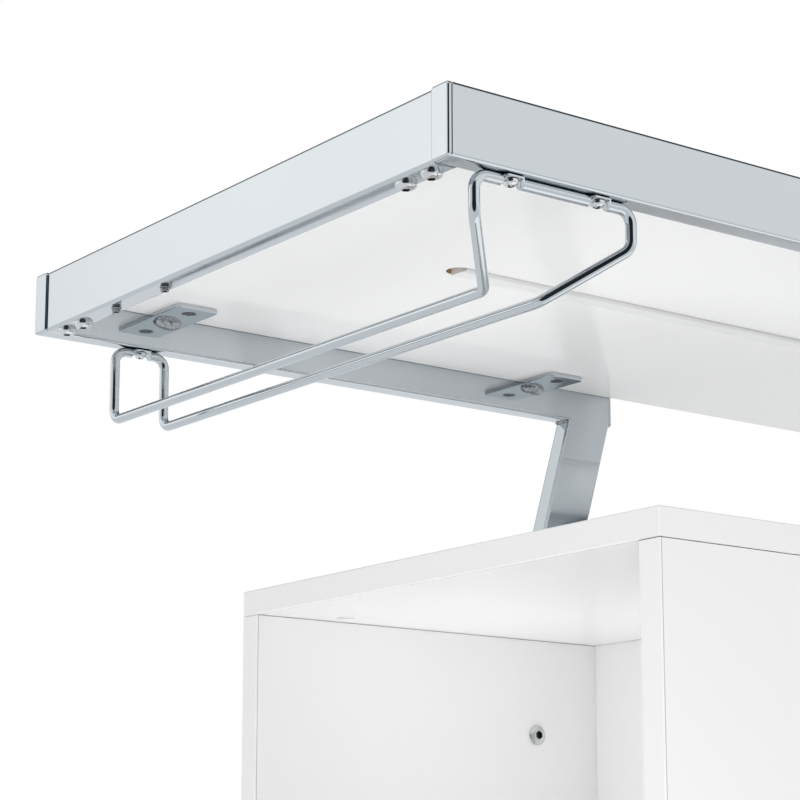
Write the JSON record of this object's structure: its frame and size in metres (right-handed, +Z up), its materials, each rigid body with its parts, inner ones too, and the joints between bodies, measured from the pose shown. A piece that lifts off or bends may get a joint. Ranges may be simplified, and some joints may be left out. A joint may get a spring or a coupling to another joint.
{
  "type": "wine cabinet",
  "caption": "White bar cabinet with a bottle bay, open end compartments with loose shelves, and a raised counter in chrome tube frames with stemware racks.",
  "frame": {"origin": "middle of the object's outline, on the floor", "axes": "+X along the counter to the right as seen from the serving side, +Y from the serving side to the guests' side, +Z up"},
  "size_m": [1.2, 0.422, 1.06],
  "materials": {
    "chrome_tube": "polished chrome plate on steel tube and wire",
    "bright_screws": "chromed screws",
    "dark_screws": "dark coated countersunk screws",
    "zinc_fittings": "zinc-plated steel fittings",
    "nickel_pins": "nickel-plated shelf pins",
    "beech_dowels": "plain beech",
    "grey_plastic": "smooth moulded plastic",
    "white_bar": "white powder coat",
    "white_counter": "white gloss lacquer on board",
    "white_board": "white gloss lacquer on board"
  },
  "bodies": {
    "cabinet": {"bay_shelf": "white_board", "bottle_body_rail_1": "white_board", "bottle_body_rail_2": "white_board", "bottle_body_rail_3": "white_board", "bottle_neck_rail_1": "white_board", "bottle_neck_rail_2": "white_board", "bottle_neck_rail_3": "white_board", "bottom_panel": "white_board", "cam_locks": "zinc_fittings", "cam_pins": "zinc_fittings", "carcass_dowels": "beech_dowels", "counter_board": "white_counter", "far_side_panel": "white_board", "floor_glides": "grey_plastic", "left_arm_caps": "chrome_tube", "left_beam_screws": "bright_screws", "left_board_tabs": "chrome_tube", "left_corner_tongues": "zinc_fittings", "left_divider": "white_board", "left_end_beam": "chrome_tube", "left_far_arm": "chrome_tube", "left_far_leg": "chrome_tube", "left_leg_caps": "chrome_tube", "left_leg_spacers": "grey_plastic", "left_near_arm": "chrome_tube", "left_near_leg": "chrome_tube", "left_rack_screws": "bright_screws", "left_shelf_pins": "nickel_pins", "left_spare_screws": "dark_screws", "left_stemware_rack": "chrome_tube", "leg_bolts": "bright_screws", "near_left_panel": "white_board", "near_right_panel": "white_board", "right_arm_caps": "chrome_tube", "right_beam_screws": "bright_screws", "right_board_tabs": "chrome_tube", "right_corner_tongues": "zinc_fittings", "right_divider": "white_board", "right_end_beam": "chrome_tube", "right_far_arm": "chrome_tube", "right_far_leg": "chrome_tube", "right_leg_caps": "chrome_tube", "right_leg_spacers": "grey_plastic", "right_near_arm": "chrome_tube", "right_near_leg": "chrome_tube", "right_rack_screws": "bright_screws", "right_shelf_pins": "nickel_pins", "right_spare_screws": "dark_screws", "right_stemware_rack": "chrome_tube", "stiffener_bar": "white_bar", "tab_screws": "dark_screws", "top_panel": "white_board"},
    "left_shelf": {"left_shelf": "white_board"},
    "right_shelf": {"right_shelf": "white_board"}
  },
  "joints": [
    {"name": "left_shelf_pull", "type": "slide", "parent": "cabinet", "child": "left_shelf", "axis": [-1, 0, 0], "range_m": [0, 0.285]},
    {"name": "right_shelf_pull", "type": "slide", "parent": "cabinet", "child": "right_shelf", "axis": [1, 0, 0], "range_m": [0, 0.285]}
  ]
}
